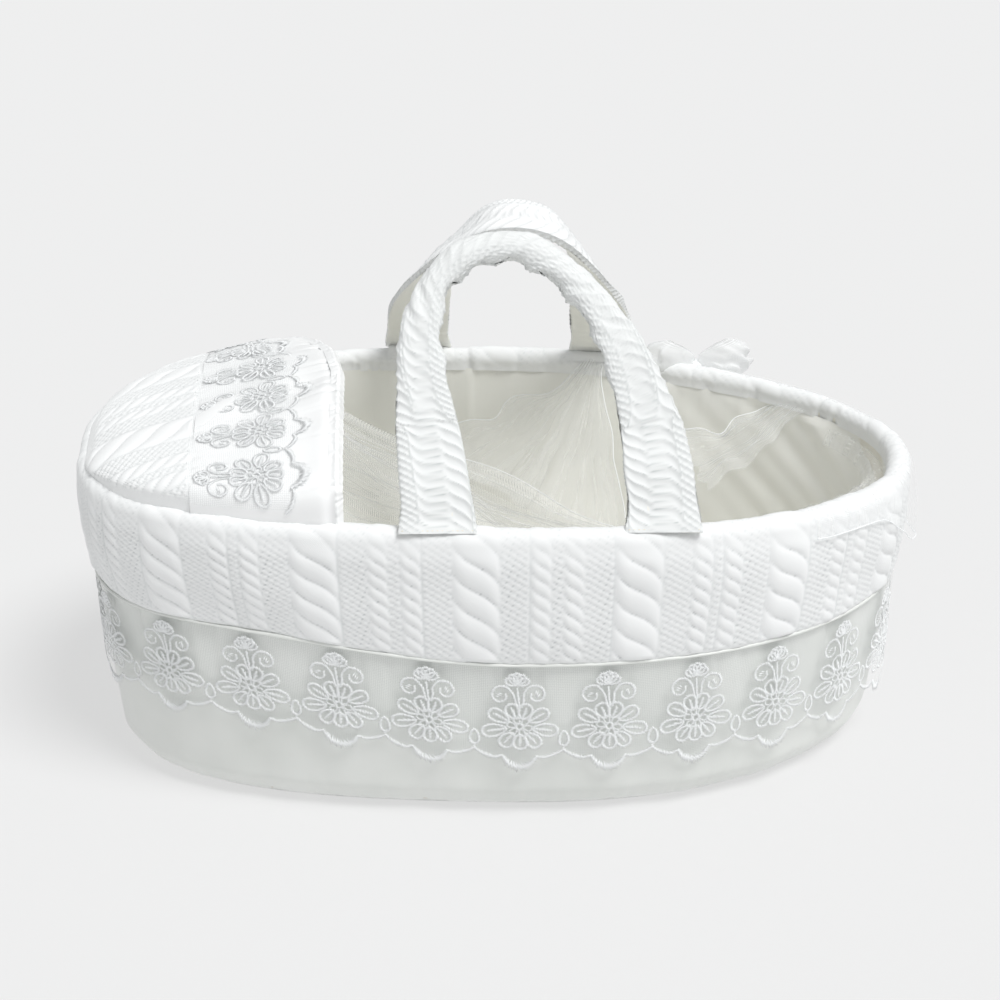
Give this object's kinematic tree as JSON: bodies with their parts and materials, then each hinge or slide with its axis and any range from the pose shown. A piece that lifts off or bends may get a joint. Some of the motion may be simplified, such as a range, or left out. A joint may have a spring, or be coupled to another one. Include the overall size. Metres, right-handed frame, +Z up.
{
  "type": "moses basket",
  "caption": "Oval padded fabric baby basket with a foot hood at one end, a lace-trimmed skirt, a tulle veil and two swinging strap handles.",
  "frame": {"origin": "middle of the bounding box, on the floor under the base", "axes": "+X along the tub towards the open end, hood at -X, +Y to the side with the bow, +Z up"},
  "size_m": [0.763, 0.4228, 0.5134],
  "materials": {
    "knit": "white quilted cable knit",
    "white_satin": "white satin, soft sheen",
    "cream_satin": "cream satin, soft sheen",
    "lace": "white corded lace on net",
    "tulle": "white tulle net",
    "foam": "padding",
    "board": "plain board",
    "wire": "plain steel wire",
    "webbing": "woven tape",
    "thread": "sewing thread"
  },
  "bodies": {
    "basket": {"quilt_band": "knit", "rim_cover": "knit", "hood_knit_panel": "knit", "handle_near_tabs": "knit", "handle_far_tabs": "knit", "satin_skirt": "white_satin", "bottom_cover": "white_satin", "hood_satin_band": "white_satin", "hood_elastic": "white_satin", "seam_piping": "white_satin", "lining_wall": "cream_satin", "lining_floor": "cream_satin", "mattress_cover": "cream_satin", "hood_lining": "cream_satin", "lace_trim": "lace", "hood_lace": "lace", "veil_panel": "tulle", "veil_inner_swag": "tulle", "veil_end_drape": "tulle", "bow_knot": "tulle", "bow_loops": "tulle", "bow_tails": "tulle", "wall_foam": "foam", "rim_foam": "foam", "mattress_foam": "foam", "hood_wadding": "foam", "base_board": "board", "rim_wire": "wire", "handle_near_stitching": "thread", "handle_far_stitching": "thread"},
    "handle_near": {"handle_near_cover": "knit", "handle_near_facing": "cream_satin", "handle_near_webbing": "webbing"},
    "handle_far": {"handle_far_cover": "knit", "handle_far_facing": "cream_satin", "handle_far_webbing": "webbing"}
  },
  "joints": [
    {"name": "handle_near_swing", "type": "hinge", "parent": "basket", "child": "handle_near", "pos_m": [0.02765, -0.19538, 0.29746], "axis": [0.9997, -0.0178, -0.0143], "range_deg": [-11, 124]},
    {"name": "handle_far_swing", "type": "hinge", "parent": "basket", "child": "handle_far", "pos_m": [0.01813, 0.19035, 0.29772], "axis": [0.9931, -0.117, -0.0118], "range_deg": [-132, 7]}
  ]
}
